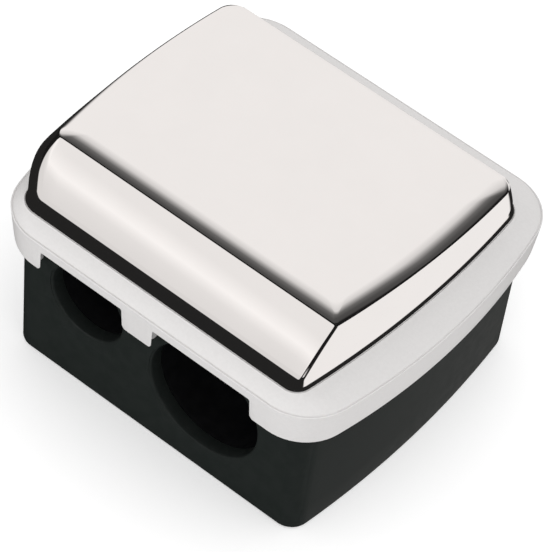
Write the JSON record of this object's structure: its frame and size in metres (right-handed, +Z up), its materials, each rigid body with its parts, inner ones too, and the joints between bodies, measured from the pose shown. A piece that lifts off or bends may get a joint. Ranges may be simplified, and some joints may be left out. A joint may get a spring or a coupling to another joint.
{
  "type": "two-hole pocket pencil sharpener",
  "caption": "Box-shaped hand pencil sharpener with a slim and a thick conical hole, a shavings box and a hinged, mirror-capped lid.",
  "frame": {"origin": "on the surface the sharpener stands on, under the centre of the closed lid's outline", "axes": "+Z up, -Y out of the front face with the pencil holes, +X to the right seen from the front"},
  "size_m": [0.0408, 0.0362, 0.025],
  "materials": {
    "black_plastic": "smooth black moulded plastic",
    "block_plastic": "dull black moulded plastic",
    "blade_steel": "ground tool steel",
    "screw_steel": "plated steel",
    "silver_plastic": "silver painted plastic, satin",
    "mirror_chrome": "mirror metallised plastic"
  },
  "bodies": {
    "box": {"box_shell": "black_plastic", "sharpener_block": "block_plastic", "slim_blade": "blade_steel", "thick_blade": "blade_steel", "slim_blade_screw": "screw_steel", "thick_blade_screw": "screw_steel", "hinge_pin": "screw_steel"},
    "lid": {"lid_frame": "silver_plastic", "lid_cap": "mirror_chrome"}
  },
  "joints": [
    {"name": "lid_hinge", "type": "hinge", "parent": "box", "child": "lid", "pos_m": [0, 0.0168, 0.0146], "axis": [-1, 0, 0], "range_deg": [0, 105]}
  ]
}
